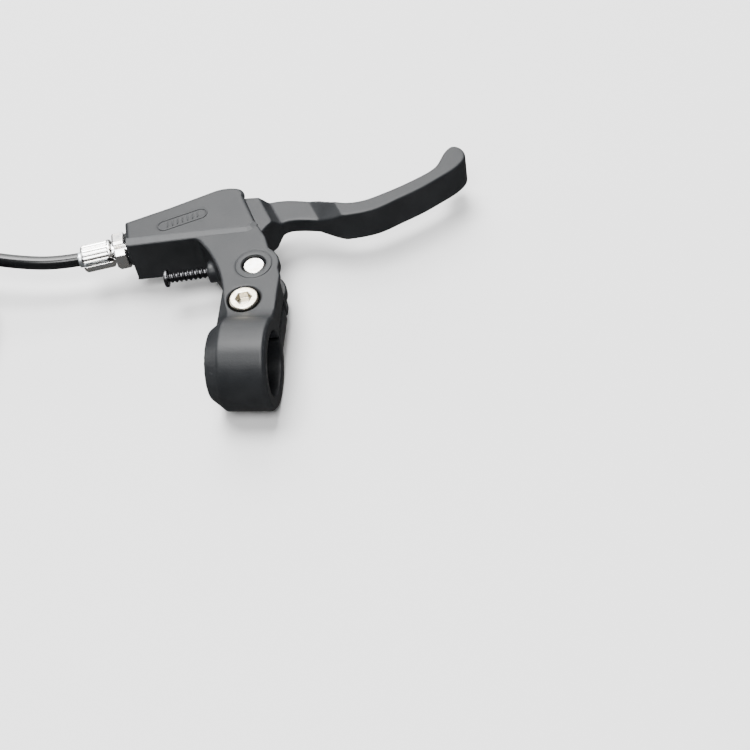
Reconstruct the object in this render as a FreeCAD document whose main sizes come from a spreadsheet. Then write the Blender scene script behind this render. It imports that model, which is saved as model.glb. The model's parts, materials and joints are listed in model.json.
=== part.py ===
"""Right-hand brake lever for a 22.2 mm handlebar, with its cable.

Frame: X runs along the bar towards the grip, Y runs forwards from the bar in the lever's plane, Z is up along the
pivot. The origin is the centre of the clamp's bore, and the lever's mid-plane is Z = 0. Millimetres and degrees.
"""

import FreeCAD, Part
import Sketcher
import math
import os

from FreeCAD import Placement, Rotation, Vector

doc = FreeCAD.newDocument("brake_lever")

# ---------------------------------------------------------------------------------------------------------------
# Driving dimensions
# ---------------------------------------------------------------------------------------------------------------
SIZES = {
    # clamp band
    "bore_radius": 11.1,
    "band_radius": 15.8,
    "band_half_width": 10.8,
    "band_cone_length": 5.5,
    "band_cone_radius": 11.6,
    "clamp_gap": 1.5,
    # bracket plate
    "plate_half": 9.0,
    "panel_half": 9.5,
    "slot_half": 7.2,
    "cheek_pad_half": 5.2,
    "cheek_pad_radius": 9.1,
    "collar_radius": 6.2,
    "collar_length": 1.75,
    "collar_root": 2.0,
    "thread_boss_radius": 5.6,
    "thread_boss_length": 12.0,
    "reach_boss_radius": 3.9,
    # pivot
    "pin_radius": 2.5,
    "pin_head_radius": 3.95,
    "pin_head_top": 8.7,
    "pin_head_under": 6.5,
    "pin_tail": 8.6,
    "pin_pocket_radius": 4.35,
    "ring_moulding_radius": 6.5,
    "bush_bore_radius": 2.55,
    "bush_radius": 3.5,
    "hub_radius": 6.3,
    "hub_half": 4.9,
    # clamp bolt
    "bolt_radius": 2.5,
    "bolt_hole_radius": 2.75,
    "bolt_head_radius": 5.1,
    "bolt_head_length": 5.0,
    "bolt_head_top": 9.5,
    "bolt_pocket_radius": 5.7,
    "bolt_socket_flats": 5.0,
    "bolt_socket_depth": 2.6,
    "bolt_washer_radius": 5.0,
    "bolt_washer_thick": 0.8,
    "nut_flats": 8.0,
    "nut_length": 4.0,
    "nut_pocket_top": 4.4,
    # lever
    "root_half": 6.9,
    "neck_half": 3.1,
    "blade_half": 6.4,
    "anchor_radius": 31.2,
    "anchor_hole_radius": 4.0,
    "anchor_boss_radius": 5.5,
    "lever_travel": 22.0,
    # cable and adjuster
    "wire_radius": 0.75,
    "nipple_radius": 3.4,
    "nipple_half": 3.5,
    "housing_radius": 2.5,
    "housing_bore_radius": 1.1,
    "ferrule_radius": 2.8,
    "ferrule_length": 10.6,
    "ferrule_wall": 0.9,
    "adjuster_thread_radius": 3.45,
    "thread_hole_radius": 3.5,
    "adjuster_barrel_radius": 5.1,
    "adjuster_barrel_start": 7.5,
    "adjuster_barrel_end": 18.65,
    "adjuster_thread_depth": 10.0,
    "adjuster_mouth_radius": 2.85,
    "adjuster_mouth_start": 9.45,
    "adjuster_wire_bore": 1.3,
    "cable_slot": 1.6,
    "lock_ring_radius": 6.9,
    "lock_ring_start": 1.9,
    "lock_ring_length": 4.6,
    # reach screw
    "reach_radius": 2.0,
    "reach_core_radius": 1.45,
    "reach_pitch": 1.7,
    "reach_hole_radius": 2.05,
    "reach_head_radius": 3.2,
    "reach_head_length": 1.4,
    # coil of spare cable
    "coil_radius": 27.5,
    "coil_turn_pitch": 5.1,
    "coil_turns": 3.25,
    "tie_thick": 0.7,
    "tie_width": 7.0,
}

sheet = doc.addObject("Spreadsheet::Sheet", "Sizes")
for row, (alias, value) in enumerate(SIZES.items(), start=1):
    sheet.set("A%d" % row, alias)
    sheet.set("B%d" % row, str(value))
    sheet.setAlias("B%d" % row, alias)
doc.recompute()

# ---------------------------------------------------------------------------------------------------------------
# Places in the lever's plane
# ---------------------------------------------------------------------------------------------------------------
PIVOT = Vector(0.3, 37.3, 0)
BOLT = Vector(-1.1, 21.5, 0)

CABLE_TILT = 15.0
CABLE_OUT = Vector(-math.cos(math.radians(CABLE_TILT)), -math.sin(math.radians(CABLE_TILT)), 0)
CABLE_SIDE = Vector(-CABLE_OUT.y, CABLE_OUT.x, 0)
ADJUSTER_SEAT = Vector(-49.15, 56.06, 0)

REACH_TILT = 8.75
REACH_IN = Vector(math.cos(math.radians(REACH_TILT)), math.sin(math.radians(REACH_TILT)), 0)
REACH_HEAD = Vector(-34.4, 40.35, 0)
REACH_LENGTH = 26.0

# the return spring, which the bracket and the blade hold between them
SPRING_RADIUS = 4.45
SPRING_WIRE = 0.4
SPRING_TURNS = 2.5
SPRING_PITCH = 0.9
SPRING_POCKET_RADIUS = 5.2
SPRING_POCKET_FLOOR = 1.6
SPRING_FIXED_ANGLE = 250.0
SPRING_BASE = -4.45
SPRING_LEG_HOLE_RADIUS = 0.5

ANCHOR_ANGLE = 90 + CABLE_TILT + SIZES["lever_travel"] / 2


def polar(centre, radius, degrees):
    """The point at a radius and an angle from a centre, in the lever's plane."""
    turn = math.radians(degrees)
    return Vector(centre.x + radius * math.cos(turn), centre.y + radius * math.sin(turn), centre.z)


def along_cable(distance, z=0.0):
    """The point on the cable's line at a distance outwards from the adjuster's seat."""
    point = ADJUSTER_SEAT + CABLE_OUT * distance
    return Vector(point.x, point.y, z)


def foot_on_cable(point):
    """The point of the cable's line nearest to a point."""
    return ADJUSTER_SEAT + CABLE_OUT * (point - ADJUSTER_SEAT).dot(CABLE_OUT)


ANCHOR = polar(PIVOT, SIZES["anchor_radius"], ANCHOR_ANGLE)
NIPPLE = foot_on_cable(ANCHOR)

CABLE_FRAME = Placement(ADJUSTER_SEAT, Rotation(CABLE_SIDE, Vector(0, 0, 1), CABLE_OUT, "ZXY"))
REACH_FRAME = Placement(REACH_HEAD, Rotation(Vector(0, 1, 0), Vector(0, 0, 1), REACH_IN, "ZXY"))

# ---------------------------------------------------------------------------------------------------------------
# Helpers
# ---------------------------------------------------------------------------------------------------------------
PARTS = []


def sub_part(shape_object, name, placement=None):
    """Names a finished object as a node to be written."""
    shape_object.Label = name
    if placement is not None:
        shape_object.Placement = placement
    PARTS.append(shape_object)
    return shape_object


def bind(target, **expressions):
    """Binds properties to cells of the sheet: bind(pad, Length='2 * Sizes.plate_half')."""
    for prop, expression in expressions.items():
        target.setExpression(prop, expression)
    return target


def new_body(name):
    return doc.addObject("PartDesign::Body", name)


def new_sketch(body, name, role="XY_Plane", offset=None):
    """A sketch on one of its body's origin planes."""
    sketch = body.newObject("Sketcher::SketchObject", name)
    plane = [item for item in body.Origin.OriginFeatures if item.Role == role][0]
    sketch.AttachmentSupport = [(plane, "")]
    sketch.MapMode = "FlatFace"
    if offset is not None:
        sketch.AttachmentOffset = offset
    return sketch


def flat(point):
    return Vector(point[0], point[1], 0)


def draw(sketch, start, steps):
    """Draws a closed outline. A step is an end point, or (middle, end) for an arc."""
    here = flat(start)
    for step in steps:
        if isinstance(step[0], (tuple, Vector)):
            middle, end = flat(step[0]), flat(step[1])
            sketch.addGeometry(Part.Arc(here, middle, end), False)
        else:
            end = flat(step)
            sketch.addGeometry(Part.LineSegment(here, end), False)
        here = end
    if (here - flat(start)).Length > 1e-6:
        sketch.addGeometry(Part.LineSegment(here, flat(start)), False)


def draw_circle(sketch, centre, alias):
    """A circle whose radius is bound to a cell."""
    index = sketch.addGeometry(Part.Circle(flat(centre), Vector(0, 0, 1), SIZES[alias]), False)
    constraint = sketch.addConstraint(Sketcher.Constraint("Radius", index, SIZES[alias]))
    sketch.setExpression("Constraints[%d]" % constraint, "Sizes." + alias)
    return index


def draw_spline(sketch, points):
    """An open spline through points, which ends a closed outline with straight or curved neighbours."""
    curve = Part.BSplineCurve()
    curve.interpolate([flat(point) for point in points])
    sketch.addGeometry(curve, False)


def pad(body, sketch, name, length, symmetric=True, reverse=False):
    """A pad whose length is an expression."""
    feature = body.newObject("PartDesign::Pad", name)
    feature.Profile = sketch
    feature.SideType = "Symmetric" if symmetric else "One side"
    feature.Reversed = reverse
    bind(feature, Length=length)
    doc.recompute()
    return feature


def pocket(body, sketch, name, length, symmetric=False, reverse=False):
    """A pocket whose depth is an expression. It has to remove something."""
    before = body.Shape.copy()
    feature = body.newObject("PartDesign::Pocket", name)
    feature.Profile = sketch
    feature.SideType = "Symmetric" if symmetric else "One side"
    feature.Reversed = reverse
    bind(feature, Length=length)
    doc.recompute()
    if before.cut(body.Shape).Volume < 1e-3:
        raise RuntimeError("%s cuts nothing" % name)
    return feature


def revolve(body, sketch, name, axis="V_Axis"):
    feature = body.newObject("PartDesign::Revolution", name)
    feature.Profile = sketch
    feature.ReferenceAxis = (sketch, [axis])
    feature.Angle = 360
    doc.recompute()
    return feature


def raised(z):
    """A sketch's offset at a height above its plane."""
    return Placement(Vector(0, 0, z), Rotation())


def cylinder(name, radius, height, base=Vector(0, 0, 0)):
    """A Part cylinder whose radius and height are expressions."""
    solid = doc.addObject("Part::Cylinder", name)
    solid.Placement = Placement(base, Rotation())
    return bind(solid, Radius=radius, Height=height)


def boolean(kind, name, base, tool):
    result = doc.addObject("Part::" + kind, name)
    result.Base = base
    result.Tool = tool
    return result


def prism(name, flats, height, base):
    """A Part hexagon across the given flats."""
    solid = doc.addObject("Part::Prism", name)
    solid.Polygon = 6
    solid.Placement = Placement(base, Rotation())
    return bind(solid, Circumradius="(%s) / sqrt(3)" % flats, Height=height)


# ---------------------------------------------------------------------------------------------------------------
# Bracket
# ---------------------------------------------------------------------------------------------------------------
PLATE_START = (-50.8, 60.4)
PLATE_STEPS = [
    (-47.7, 48.2),
    (-24.6, 50.95),
    ((-22.2, 50.6), (-20.6, 49.0)),
    (-18.1, 46.0),
    ((-12.7, 36.6), (-9.2, 25.6)),
    ((-9.9, 18.4), (-10.8, 11.2)),
    (-10.8, 0.0),
    (10.6, 0.0),
    (10.4, 32.0),
    (9.1, 36.3),
    ((8.0, 40.2), (5.5, 43.3)),
    (2.8, 50.9),
    (-1.6, 58.1),
    (-7.8, 71.5),
    ((-8.8, 74.9), (-11.5, 76.3)),
    ((-15.4, 76.4), (-19.6, 75.2)),
    (-35.0, 67.5),
]
PANEL_START = (-50.2, 59.7)
PANEL_STEPS = [
    (-48.0, 51.1),
    (-22.9, 53.7),
    (-4.5, 55.2),
    (-2.2, 58.3),
    (-8.4, 71.3),
    ((-9.3, 74.3), (-11.7, 75.6)),
    ((-15.3, 75.7), (-19.4, 74.5)),
    (-34.7, 66.8),
]
# the bevel's plane: a point on the band, the point where it fades out, and a point down the plate's side
BEVEL_CORNERS = [(-5.3, 13.0, 9.0), (-9.2, 25.6, 9.0), (-8.6, 13.0, 6.2)]
BEVEL_START = 12.0
BEVEL_WIDTH = 9.0
SLOT_OUTER_RADIUS = 38.0
SLOT_RIGHT = 30.0
SLOT_CORNER = (-9.6, 44.5)
SLOT_CORNER_TOP = 62.0
SLOT_LEFT = -20.2
SLOT_BOTTOM_RADIUS = 6.9
FRAME_CENTRE = Vector(-28.9, 60.2, 0)
FRAME_TILT = 24.0
FRAME_HALF_LENGTH = 6.8
FRAME_RADIUS = 2.6
FRAME_LINE = 0.5
EMBOSS_HEIGHT = 0.3
PIN_MOULDING_HEIGHT = 0.25
SPLIT_TOP = 28.6
EAR_TOP = 27.3
CABLE_WAY = 40.0
SLIT_DEPTH = 16.0
REACH_BOSS_START = 16.0
REACH_BOSS_LENGTH = 5.0
REACH_HOLE_START = 14.0


def pill(sketch, centre, tilt, half_length, radius):
    """A rounded slot outline."""
    along = Vector(math.cos(math.radians(tilt)), math.sin(math.radians(tilt)), 0)
    across = Vector(-along.y, along.x, 0)
    right, left = centre + along * half_length, centre - along * half_length
    draw(
        sketch,
        right - across * radius,
        [
            (right + along * radius, right + across * radius),
            left + across * radius,
            (left - along * radius, left - across * radius),
        ],
    )


def make_bracket():
    body = new_body("BracketBody")

    sketch = new_sketch(body, "PlateSketch")
    draw(sketch, PLATE_START, PLATE_STEPS)
    pad(body, sketch, "Plate", "2 * Sizes.plate_half")

    # The bevel of the plate's inner edge, which carries the band's cone on and fades out beside the bolt.
    for name, side in (("Upper", 1), ("Lower", -1)):
        origin, along, down = (Vector(x, y, side * z) for x, y, z in BEVEL_CORNERS)
        out = (along - origin).cross(down - origin) * side
        bevel = body.newObject("PartDesign::SubtractiveBox", name + "Bevel")
        bevel.Length, bevel.Width, bevel.Height = (along - origin).Length + BEVEL_START, 2 * BEVEL_WIDTH, BEVEL_WIDTH
        turn = Rotation(along - origin, Vector(0, 0, 0), out, "XZY")
        back = (along - origin).normalize() * BEVEL_START
        bevel.Placement = Placement(origin - back, turn).multiply(Placement(Vector(0, -BEVEL_WIDTH, 0), Rotation()))
        doc.recompute()

    # The raised panel over the cable's housing, on both faces.
    sketch = new_sketch(body, "PanelSketch")
    draw(sketch, PANEL_START, PANEL_STEPS)
    pad(body, sketch, "Panel", "2 * Sizes.panel_half")

    # The band round the bar, coned at its inner end.
    half, bore, outer = SIZES["band_half_width"], SIZES["bore_radius"], SIZES["band_radius"]
    sketch = new_sketch(body, "BandSketch")
    draw(
        sketch,
        (-half, bore - 1.0),
        [
            (-half, SIZES["band_cone_radius"]),
            (-half + SIZES["band_cone_length"], outer),
            (half - 1.0, outer),
            (half, outer - 1.0),
            (half, bore - 1.0),
        ],
    )
    revolve(body, sketch, "Band", "H_Axis")

    # The slot between the cheeks, open towards the grip.
    top = polar(PIVOT, SLOT_OUTER_RADIUS, 75)
    left_top_y = PIVOT.y + math.sqrt(SLOT_OUTER_RADIUS**2 - (SLOT_LEFT - PIVOT.x) ** 2)
    sketch = new_sketch(body, "SlotSketch")
    draw(
        sketch,
        (SLOT_RIGHT, PIVOT.y - SLOT_BOTTOM_RADIUS),
        [
            (PIVOT.x, PIVOT.y - SLOT_BOTTOM_RADIUS),
            (polar(PIVOT, SLOT_BOTTOM_RADIUS, 225), polar(PIVOT, SLOT_BOTTOM_RADIUS, 185)),
            SLOT_CORNER,
            (SLOT_LEFT, SLOT_CORNER_TOP),
            (SLOT_LEFT, left_top_y),
            (polar(PIVOT, SLOT_OUTER_RADIUS, 105), top),
            (SLOT_RIGHT, top.y),
        ],
    )
    pocket(body, sketch, "LeverSlot", "2 * Sizes.slot_half", symmetric=True)

    # Pads inside the cheeks, which the hub runs between.
    for name, side in (("Upper", 1), ("Lower", -1)):
        sketch = new_sketch(body, name + "PadSketch", offset=raised(side * SIZES["cheek_pad_half"]))
        draw_circle(sketch, PIVOT, "cheek_pad_radius")
        pad(body, sketch, name + "Pad", "Sizes.plate_half - Sizes.cheek_pad_half", False, side < 0)

    # The boss for the adjuster's thread, with the collar that the lock ring meets.
    for name, start, sizes in (
        ("ThreadBoss", SIZES["thread_boss_length"], ("thread_boss_radius", "thread_boss_length")),
        ("Collar", SIZES["collar_root"], ("collar_radius", "collar_root + Sizes.collar_length")),
    ):
        boss = body.newObject("PartDesign::AdditiveCylinder", name)
        boss.Placement = Placement(along_cable(-start), CABLE_FRAME.Rotation)
        bind(boss, Radius="Sizes." + sizes[0], Height="Sizes." + sizes[1])
        doc.recompute()

    # The boss for the reach screw.
    boss = body.newObject("PartDesign::AdditiveCylinder", "ReachBoss")
    boss.Placement = Placement(REACH_HEAD + REACH_IN * REACH_BOSS_START, REACH_FRAME.Rotation)
    bind(boss, Radius="Sizes.reach_boss_radius")
    boss.Height = REACH_BOSS_LENGTH
    doc.recompute()

    # Bore for the bar.
    sketch = new_sketch(body, "BoreSketch", "YZ_Plane")
    draw_circle(sketch, (0, 0), "bore_radius")
    pocket(body, sketch, "BarBore", "4 * Sizes.band_half_width", symmetric=True)

    # The clamp's split: a gap behind the mid-plane from the bore up, and a cut that frees the ear's top.
    sketch = new_sketch(body, "SplitSketch", offset=raised(-SIZES["clamp_gap"]))
    draw(sketch, (-20, 5), [(20, 5), (20, SPLIT_TOP), (-20, SPLIT_TOP)])
    pocket(body, sketch, "ClampSplit", "Sizes.clamp_gap", reverse=True)
    sketch = new_sketch(body, "EarCutSketch", offset=raised(-SIZES["clamp_gap"]))
    draw(sketch, (-20, EAR_TOP), [(20, EAR_TOP), (20, SPLIT_TOP), (-20, SPLIT_TOP)])
    pocket(body, sketch, "EarCut", "2 * Sizes.plate_half")

    # Clamp bolt: hole, head pocket and the nut's hexagon.
    sketch = new_sketch(body, "BoltHoleSketch")
    draw_circle(sketch, BOLT, "bolt_hole_radius")
    pocket(body, sketch, "BoltHole", "4 * Sizes.plate_half", symmetric=True)
    floor = SIZES["bolt_head_top"] - SIZES["bolt_head_length"] - SIZES["bolt_washer_thick"]
    sketch = new_sketch(body, "BoltPocketSketch", offset=raised(floor))
    draw_circle(sketch, BOLT, "bolt_pocket_radius")
    pocket(body, sketch, "BoltPocket", "3 * Sizes.plate_half", reverse=True)
    sketch = new_sketch(body, "NutPocketSketch", offset=raised(-SIZES["nut_pocket_top"]))
    corners = [polar(BOLT, (SIZES["nut_flats"] / 2 + 0.05) / math.cos(math.pi / 6), 60 * k) for k in range(6)]
    draw(sketch, corners[0], corners[1:])
    pocket(body, sketch, "NutPocket", "3 * Sizes.plate_half")

    # Pivot: the pin's hole, its head's pocket and the retaining ring's pocket.
    sketch = new_sketch(body, "PinHoleSketch")
    draw_circle(sketch, PIVOT, "pin_radius")
    pocket(body, sketch, "PinHole", "4 * Sizes.plate_half", symmetric=True)
    sketch = new_sketch(body, "PinHeadSketch", offset=raised(SIZES["pin_head_under"]))
    draw_circle(sketch, PIVOT, "pin_pocket_radius")
    pocket(body, sketch, "PinHeadPocket", "Sizes.plate_half", reverse=True)
    sketch = new_sketch(body, "PinRingSketch", offset=raised(-SIZES["pin_head_under"]))
    draw_circle(sketch, PIVOT, "bolt_pocket_radius")
    pocket(body, sketch, "PinRingPocket", "Sizes.plate_half")

    # The hole for the spring's fixed leg, in the lower pad.
    sketch = new_sketch(body, "SpringLegSketch", offset=raised(-SIZES["cheek_pad_half"] + 0.1))
    leg = polar(PIVOT, SPRING_RADIUS, SPRING_FIXED_ANGLE)
    sketch.addGeometry(Part.Circle(leg, Vector(0, 0, 1), SPRING_LEG_HOLE_RADIUS), False)
    pocket(body, sketch, "SpringLegHole", "1.2 mm")

    # The cable's way: the adjuster's thread, the bore to the slot, and the slit that lets the cable in from below.
    for name, radius, start, end in (
        ("AdjusterHole", "thread_hole_radius", SIZES["thread_boss_length"], SIZES["collar_length"] + 3.0),
        ("WireBore", "adjuster_wire_bore", CABLE_WAY, 0.0),
    ):
        hole = body.newObject("PartDesign::SubtractiveCylinder", name)
        hole.Placement = Placement(along_cable(-start), CABLE_FRAME.Rotation)
        bind(hole, Radius="Sizes." + radius)
        hole.Height = start + end
        doc.recompute()
    slit = body.newObject("PartDesign::SubtractiveBox", "CableSlit")
    slit.Length, slit.Height = SLIT_DEPTH, CABLE_WAY + SIZES["collar_length"] + 3.0
    bind(slit, Width="Sizes.cable_slot")
    slit.Placement = Placement(
        along_cable(-CABLE_WAY, -SIZES["cable_slot"] / 2), Rotation(-CABLE_SIDE, Vector(0, 0, 1), CABLE_OUT, "ZXY")
    )
    doc.recompute()

    # The reach screw's hole.
    hole = body.newObject("PartDesign::SubtractiveCylinder", "ReachHole")
    hole.Placement = Placement(REACH_HEAD + REACH_IN * REACH_HOLE_START, REACH_FRAME.Rotation)
    bind(hole, Radius="Sizes.reach_hole_radius")
    hole.Height = REACH_HOLE_START
    doc.recompute()

    # The moulded ring round the pin and the rounded frame on the panel.
    sketch = new_sketch(body, "PinMouldingSketch", offset=raised(SIZES["plate_half"]))
    draw_circle(sketch, PIVOT, "ring_moulding_radius")
    draw_circle(sketch, PIVOT, "pin_pocket_radius")
    pad(body, sketch, "PinMoulding", "%s mm" % PIN_MOULDING_HEIGHT, False)
    sketch = new_sketch(body, "FrameSketch", offset=raised(SIZES["panel_half"]))
    pill(sketch, FRAME_CENTRE, FRAME_TILT, FRAME_HALF_LENGTH, FRAME_RADIUS)
    pill(sketch, FRAME_CENTRE, FRAME_TILT, FRAME_HALF_LENGTH, FRAME_RADIUS - FRAME_LINE)
    pad(body, sketch, "PanelFrame", "%s mm" % EMBOSS_HEIGHT, False)
    return sub_part(body, "lever_bracket")


# ---------------------------------------------------------------------------------------------------------------
# Lever blade
# ---------------------------------------------------------------------------------------------------------------
BLADE_BACK = [
    (-8.6, 73.1),
    (-3.5, 73.3),
    (1.0, 74.4),
    (5.0, 75.0),
    (12.0, 74.6),
    (18.0, 73.3),
    (25.5, 70.1),
    (34.8, 69.9),
    (41.8, 72.9),
    (48.8, 76.8),
    (55.8, 81.4),
    (61.4, 86.6),
    (64.0, 93.4),
    (67.3, 96.8),
    (70.6, 94.9),
    (71.9, 90.0),
    (70.4, 86.8),
    (68.4, 84.4),
    (63.6, 80.2),
    (55.8, 74.2),
    (48.2, 69.4),
    (41.6, 65.4),
    (32.7, 62.9),
    (26.5, 62.4),
    (19.6, 63.5),
    (12.5, 64.2),
    (8.6, 63.9),
    (5.6, 61.8),
]
WEB_FRONT = [
    (5.6, 61.8),
    (1.5, 57.0),
    (-0.1, 50.8),
    (1.6, 45.5),
]
ARM_LOW = (-8.15, 44.9)
WEB_HALF = 3.0
WEB_EDGE = [(4.6, 60.2), (-1.2, 50.0), (-1.2, 47.5), (20.0, 47.5), (20.0, 60.2)]
PAD_CLEARANCE = 0.4
FACET_DIRECTION = 27.0
FACETS = [(30.45, "root"), (33.7, "neck"), (46.6, "neck"), (54.2, "blade")]


def make_blade():
    body = new_body("BladeBody")
    hub, hub_half = SIZES["hub_radius"], SIZES["hub_half"]

    # Hub, arm and blade in one outline, at the root's width.
    sketch = new_sketch(body, "BladeSketch")
    boss = SIZES["anchor_boss_radius"]
    hub_left = polar(PIVOT, hub, 190)
    hub_right = polar(PIVOT, hub, 25)
    boss_left = polar(ANCHOR, boss, 205)
    boss_top = polar(ANCHOR, boss, 100)
    draw_spline(sketch, [boss_top] + BLADE_BACK)
    draw_spline(sketch, WEB_FRONT + [hub_right])
    sketch.addGeometry(Part.Arc(hub_right, polar(PIVOT, hub, 280), hub_left), False)
    sketch.addGeometry(Part.LineSegment(hub_left, flat(ARM_LOW)), False)
    sketch.addGeometry(Part.LineSegment(flat(ARM_LOW), boss_left), False)
    sketch.addGeometry(Part.Arc(boss_left, polar(ANCHOR, boss, 150), boss_top), False)
    pad(body, sketch, "BladePlate", "2 * Sizes.root_half")

    # The thin neck and the blade's own width, with sloping facets between, cut across the lever.
    turn = Rotation(Vector(0, 1, 0), FACET_DIRECTION)
    points = [(start, SIZES[width + "_half"]) for start, width in FACETS]
    for name, side in (("Upper", 1), ("Lower", -1)):
        sketch = new_sketch(body, name + "FacetSketch", "XZ_Plane", Placement(Vector(0, 0, 0), turn))
        outline = [(x, side * z) for x, z in points]
        far = (150.0, outline[-1][1])
        draw(sketch, outline[0], outline[1:] + [far, (far[0], side * 9.0), (outline[0][0], side * 9.0)])
        pocket(body, sketch, name + "Facet", "400 mm", symmetric=True)

    # The web under the neck is thinner than the root.
    for name, side in (("Upper", 1), ("Lower", -1)):
        sketch = new_sketch(body, name + "WebSketch", offset=raised(side * WEB_HALF))
        draw(sketch, WEB_EDGE[0], WEB_EDGE[1:])
        pocket(body, sketch, name + "Web", "8 mm", reverse=side > 0)

    # The hub is narrower than the root, inside a circle that clears the bracket's pads.
    for name, side in (("Upper", 1), ("Lower", -1)):
        sketch = new_sketch(body, name + "HubSketch", offset=raised(side * hub_half))
        sketch.addGeometry(Part.Circle(PIVOT, Vector(0, 0, 1), SIZES["cheek_pad_radius"] + PAD_CLEARANCE), False)
        pocket(body, sketch, name + "HubFace", "4 mm", reverse=side > 0)

    # Bore for the bush, and the return spring's pocket with the hole for its moving leg.
    sketch = new_sketch(body, "HubBoreSketch")
    draw_circle(sketch, PIVOT, "bush_radius")
    pocket(body, sketch, "HubBore", "4 * Sizes.root_half", symmetric=True)
    sketch = new_sketch(body, "SpringPocketSketch", offset=raised(-SPRING_POCKET_FLOOR))
    sketch.addGeometry(Part.Circle(PIVOT, Vector(0, 0, 1), SPRING_POCKET_RADIUS), False)
    pocket(body, sketch, "SpringPocket", "6 mm")
    sketch = new_sketch(body, "MovingLegSketch", offset=raised(-SPRING_POCKET_FLOOR - 0.1))
    centre = polar(PIVOT, SPRING_RADIUS, SPRING_FIXED_ANGLE + 360 * SPRING_TURNS)
    sketch.addGeometry(Part.Circle(centre, Vector(0, 0, 1), SPRING_LEG_HOLE_RADIUS), False)
    pocket(body, sketch, "MovingLegHole", "1.4 mm", reverse=True)

    # The nipple's hole, open below, and the slot that the wire swings in.
    sketch = new_sketch(body, "AnchorHoleSketch", offset=raised(SIZES["nipple_half"] + 0.4))
    draw_circle(sketch, ANCHOR, "anchor_hole_radius")
    pocket(body, sketch, "AnchorHole", "30 mm")
    out = 180 + CABLE_TILT
    swing = SIZES["lever_travel"]
    apex = polar(ANCHOR, 2.6, out + swing / 2 - 180)
    sketch = new_sketch(body, "WireSlotSketch", offset=raised(1.3))
    draw(sketch, apex, [polar(apex, 14.0, out - 6), polar(apex, 14.0, out + swing + 7)])
    pocket(body, sketch, "WireSlot", "30 mm")
    return sub_part(body, "lever_blade")


# ---------------------------------------------------------------------------------------------------------------
# Pivot hardware
# ---------------------------------------------------------------------------------------------------------------
PIN_GROOVE = 7.0
RING_THICK = 0.6
PIN_GROOVE_RADIUS = 2.0


def make_pivot():
    shank = cylinder("PinShank", "Sizes.pin_radius", "Sizes.pin_head_under + Sizes.pin_tail")
    shank.Placement = Placement(Vector(PIVOT.x, PIVOT.y, -SIZES["pin_tail"]), Rotation())
    head = cylinder("PinHead", "Sizes.pin_head_radius", "Sizes.pin_head_top - Sizes.pin_head_under")
    head.Placement = Placement(Vector(PIVOT.x, PIVOT.y, SIZES["pin_head_under"]), Rotation())
    whole = boolean("Fuse", "PinBlank", shank, head)
    groove_base = Vector(PIVOT.x, PIVOT.y, -PIN_GROOVE - RING_THICK)
    groove = cylinder("PinGrooveOuter", "Sizes.pin_radius + 1", "%s" % RING_THICK, groove_base)
    core = cylinder("PinGrooveCore", "%s" % PIN_GROOVE_RADIUS, "%s" % RING_THICK, groove_base)
    grooved = boolean("Cut", "PinGrooved", whole, boolean("Cut", "PinGroove", groove, core))
    doc.recompute()
    pin = doc.addObject("Part::Chamfer", "Pin")
    pin.Base = grooved
    rims = [
        index
        for index, edge in enumerate(grooved.Shape.Edges, start=1)
        if abs(edge.BoundBox.ZMax - SIZES["pin_head_top"]) < 1e-4 and edge.BoundBox.ZLength < 1e-4
    ]
    pin.Edges = [(index, 0.5, 0.5) for index in rims]
    sub_part(pin, "pivot_pin")

    bush = boolean(
        "Cut",
        "Bush",
        cylinder("BushOuter", "Sizes.bush_radius", "2 * Sizes.hub_half", PIVOT + Vector(0, 0, -SIZES["hub_half"])),
        cylinder("BushBore", "Sizes.bush_bore_radius", "4 * Sizes.hub_half", PIVOT + Vector(0, 0, -10)),
    )
    sub_part(bush, "pivot_bush")

    washer_base = Vector(PIVOT.x, PIVOT.y, -PIN_GROOVE)
    washer = boolean(
        "Cut",
        "Washer",
        cylinder("WasherOuter", "Sizes.bolt_pocket_radius - 0.6", "0.5", washer_base),
        cylinder("WasherBore", "Sizes.pin_radius + 0.05", "2", washer_base - Vector(0, 0, 0.5)),
    )
    sub_part(washer, "pivot_washer")

    ring_outer = cylinder("RingOuter", "4.4", "%s" % RING_THICK, groove_base)
    ring_bore = cylinder("RingBore", "%s" % PIN_GROOVE_RADIUS, "%s" % RING_THICK, groove_base)
    mouth = doc.addObject("Part::Box", "RingMouth")
    mouth.Length, mouth.Width, mouth.Height = 3.2, 6.0, RING_THICK
    mouth.Placement = Placement(groove_base + Vector(-1.6, -6.0, 0), Rotation())
    e_ring = boolean("Cut", "ERing", boolean("Cut", "RingBlank", ring_outer, ring_bore), mouth)
    sub_part(e_ring, "pivot_retaining_ring")


def make_spring():
    """A torsion spring round the bush, with a leg down into the bracket and a leg up into the hub."""
    helix = Part.makeHelix(SPRING_PITCH, SPRING_PITCH * SPRING_TURNS, SPRING_RADIUS)
    start = Vector(SPRING_RADIUS, 0, 0)
    slope = Vector(0, 2 * math.pi * SPRING_RADIUS, SPRING_PITCH)
    profile = Part.Wire([Part.makeCircle(SPRING_WIRE, start, slope)])
    coil = Part.Wire(helix.Edges).makePipeShell([profile], True, True)
    end = polar(Vector(0, 0, SPRING_PITCH * SPRING_TURNS), SPRING_RADIUS, 360 * SPRING_TURNS)
    fixed_leg = Part.makeCylinder(SPRING_WIRE, 1.7, start, Vector(0, 0, -1))
    moving_leg = Part.makeCylinder(SPRING_WIRE, 1.7, end, Vector(0, 0, 1))
    spring = doc.addObject("Part::Feature", "Spring")
    spring.Shape = coil.fuse([fixed_leg, moving_leg])
    base = Vector(PIVOT.x, PIVOT.y, SPRING_BASE)
    sub_part(spring, "return_spring", Placement(base, Rotation(Vector(0, 0, 1), SPRING_FIXED_ANGLE)))


# ---------------------------------------------------------------------------------------------------------------
# Clamp hardware
# ---------------------------------------------------------------------------------------------------------------
BOLT_TAIL = 8.9
SOCKET_TURN = 12.0


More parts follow.
